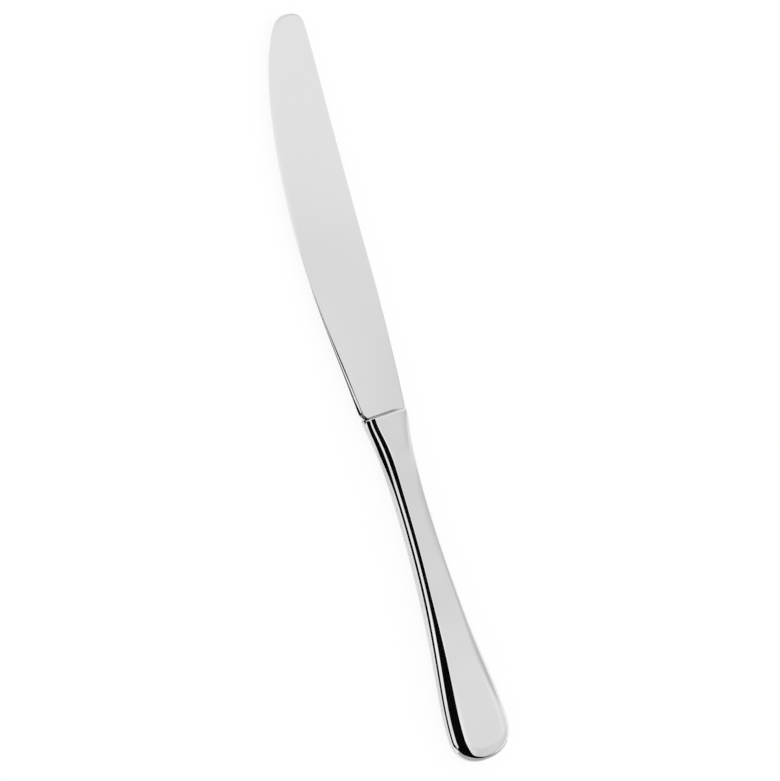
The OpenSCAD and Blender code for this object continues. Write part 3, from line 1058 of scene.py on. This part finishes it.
# A black card on the table along the unsharpened edge, from the heel on: painted shade that stands in for the
# floor's shadow under the blade, seen only in the steel's reflection
def makeHeelShadowCard():
    c = heelShadowCard
    points = []
    for i in range(c["steps"] + 1):
        place = mix(c["start"], c["end"], i / c["steps"])
        x = outlineAt(-1, place)[0]
        heelShare = max(1 - place / c["heelSpan"], 0)
        thin = max((place - c["thinFrom"]) / (c["end"] - c["thinFrom"]), 0)
        near = mix(c["near"], c["heelNear"], heelShare)
        far = mix(mix(c["far"], c["near"], thin ** c["thinPower"]), c["heelFar"], heelShare ** 2)
        for away in (near, far):
            points.append((x - away, place, overTable(cardLook["blackHeight"])))
    stripCard("heelShadowCard", points, cardLook["black"])


makeHeelShadowCard()

edgeGreyCard = {
    "level": 0.42,
    "start": 4, "end": 44, "steps": 40,
    "near": 0.5, "far": 16,
}


# A grey card under the heel card, widest half way
def makeEdgeGreyCard():
    c = edgeGreyCard
    points = []
    for i in range(c["steps"] + 1):
        place = mix(c["start"], c["end"], i / c["steps"])
        x = outlineAt(-1, place)[0]
        far = mix(c["near"], c["far"], math.sin(math.pi * i / c["steps"]))
        for away in (c["near"], far):
            points.append((x - away, place, overTable(cardLook["greyHeight"])))
    stripCard("edgeGreyCard", points, c["level"])


makeEdgeGreyCard()

# A small card on the table beside the heel's corner
cornerCard = {
    "outline": ((-13, 0.6), (-12.4, -1.2), (-10, -2), (-9.2, -0.3), (-9.1, 0.6)),
}
flatCard("cornerCard", [(x, y, overTable(cardLook["blackHeight"])) for x, y in cornerCard["outline"]])

tableShadeCards = {
    # how far from the butt each card starts, and its grey
    "bands": ((4, 0.78), (6.5, 0.65), (10, 0.52)),
    "firstPlace": 106.5,
    # the last card's reach on the spine's side, and on the other side and behind the butt
    "spineReach": 15, "reach": 600, "reachPower": 5,
}


# Grey cards on the table round the butt, one outside the other: painted shade that stands in for the table's
# shading round the butt, seen only in the steel's reflection
def makeTableShadeCards():
    c = tableShadeCards
    rim = [spot for spot in handleOutline() if spot[1] > c["firstPlace"]]
    rim = [(-x, place, -normalX, normalY) for x, place, normalX, normalY in rim] + rim[-2::-1]
    height = overTable(cardLook["greyHeight"])
    for i, (near, level) in enumerate(c["bands"]):
        points = []
        for x, place, normalX, normalY in rim:
            if i + 1 < len(c["bands"]):
                far = c["bands"][i + 1][0]
            else:
                far = mix(c["spineReach"], c["reach"], (1 - max(normalX, 0)) ** c["reachPower"])
            points += [(x + normalX * away, -place - normalY * away, height) for away in (near, far)]
        stripCard(f"tableShadeCard{i + 1}", points, level)


makeTableShadeCards()
print("floor and cards set")


sky = {
    # turn about the knife's length, in degrees from the spine's side, and the brightness there
    "turns": (
        (-180, 1.0), (-90, 0.95), (0, 0.94), (25, 0.95), (42, 1.03), (54, 1.0), (61, 0.95), (66, 0.95),
        (70, 0.94), (74, 0.98), (84, 1.04), (94, 1.14), (101, 1.25), (160, 1.2), (180, 1.0)),
    # share of a direction that points along the knife towards the tip, and the gain there
    "leans": (
        (-1, 0.85), (-0.4, 0.93), (-0.25, 1.04), (-0.184, 1.03), (-0.165, 1.035), (-0.138, 1.05),
        (-0.118, 0.945), (-0.1, 0.935), (-0.064, 0.96), (-0.045, 0.955), (-0.02, 1.0), (0.0085, 1.083),
        (0.037, 1.103), (0.1, 1.1), (0.3, 0.92), (1, 0.85)),
    # a dim gap between the lights, on the spine's side of the handle's front: its depth
    "gapTurns": ((-180, 0), (-30, 0), (0, 0.28), (25, 0.33), (50, 0.3), (58, 0.16), (61.5, 0), (180, 0)),
    "gapLeans": ((-1, 0), (-0.14, 0), (-0.12, 0.6), (-0.105, 0.8), (-0.08, 0.7), (-0.05, 0), (1, 0)),
}


def makeWorld():
    world = bpy.data.worlds.new("softTent")
    world.use_nodes = True
    tree = world.node_tree
    tree.nodes.clear()
    output = tree.nodes.new("ShaderNodeOutputWorld")
    direction = tree.nodes.new("ShaderNodeTexCoord").outputs["Generated"]
    split = tree.nodes.new("ShaderNodeSeparateXYZ")
    tree.links.new(direction, split.inputs[0])
    turn = mathNode(tree, "ARCTAN2", split.outputs["Z"], split.outputs["X"])
    turn = mapRange(tree, turn, -math.pi, math.pi, -180, 180)
    lean = split.outputs["Y"]
    bright = mathNode(
        tree, "MULTIPLY", levelLine(tree, turn, sky["turns"]), levelLine(tree, lean, sky["leans"]))
    gap = mathNode(
        tree, "MULTIPLY", levelLine(tree, turn, sky["gapTurns"]), levelLine(tree, lean, sky["gapLeans"]))
    level = mathNode(tree, "MULTIPLY", bright, mathNode(tree, "SUBTRACT", 1, gap))
    studioLight = tree.nodes.new("ShaderNodeBackground")
    tree.links.new(level, studioLight.inputs["Strength"])
    studioLight.inputs["Color"].default_value = (1, 1, 1, 1)
    white = tree.nodes.new("ShaderNodeBackground")
    white.inputs["Color"].default_value = (1, 1, 1, 1)
    path = tree.nodes.new("ShaderNodeLightPath")
    choose = tree.nodes.new("ShaderNodeMixShader")
    tree.links.new(path.outputs["Is Camera Ray"], choose.inputs[0])
    tree.links.new(studioLight.outputs[0], choose.inputs[1])
    tree.links.new(white.outputs[0], choose.inputs[2])
    tree.links.new(choose.outputs[0], output.inputs[0])
    bpy.context.scene.world = world


makeWorld()

camera = {
    "distance": 1.0, "clipEnd": 20,
    "roll": 18.586, "lean": 4.311, "side": 27.49,     # degrees about the view, across and along the knife
    "targetHeight": 4,             # of the point looked at, over the table, in millimetres
    "pixelsPerMetre": 3300.7,      # at that point, in an image 781 pixels high
    "targetPixel": (377.77, 392.16),
    "imageSize": (780, 781),
    "sensor": 36.0,
}


def makeCamera():
    c = camera
    turn = (Matrix.Rotation(math.radians(-c["lean"]), 3, "X")
            @ Matrix.Rotation(math.radians(-c["side"]), 3, "Y")
            @ Matrix.Rotation(math.radians(-c["roll"]), 3, "Z"))
    shiftRight = (c["imageSize"][0] / 2 - c["targetPixel"][0]) / c["pixelsPerMetre"]
    shiftUp = (c["targetPixel"][1] - c["imageSize"][1] / 2) / c["pixelsPerMetre"]
    spot = Vector((0, 0, c["targetHeight"] * mm)) + turn @ Vector((shiftRight, shiftUp, c["distance"]))
    lens = bpy.data.cameras.new("photoView")
    lens.sensor_width = c["sensor"]
    lens.lens = c["pixelsPerMetre"] * c["distance"] * c["sensor"] / max(c["imageSize"])
    lens.clip_end = c["clipEnd"]
    viewer = bpy.data.objects.new("photoView", lens)
    viewer.matrix_world = Matrix.Translation(spot) @ turn.to_4x4()
    bpy.context.scene.collection.objects.link(viewer)
    bpy.context.scene.camera = viewer


makeCamera()
bpy.context.scene.view_settings.view_transform = "Standard"
print("world and camera set")
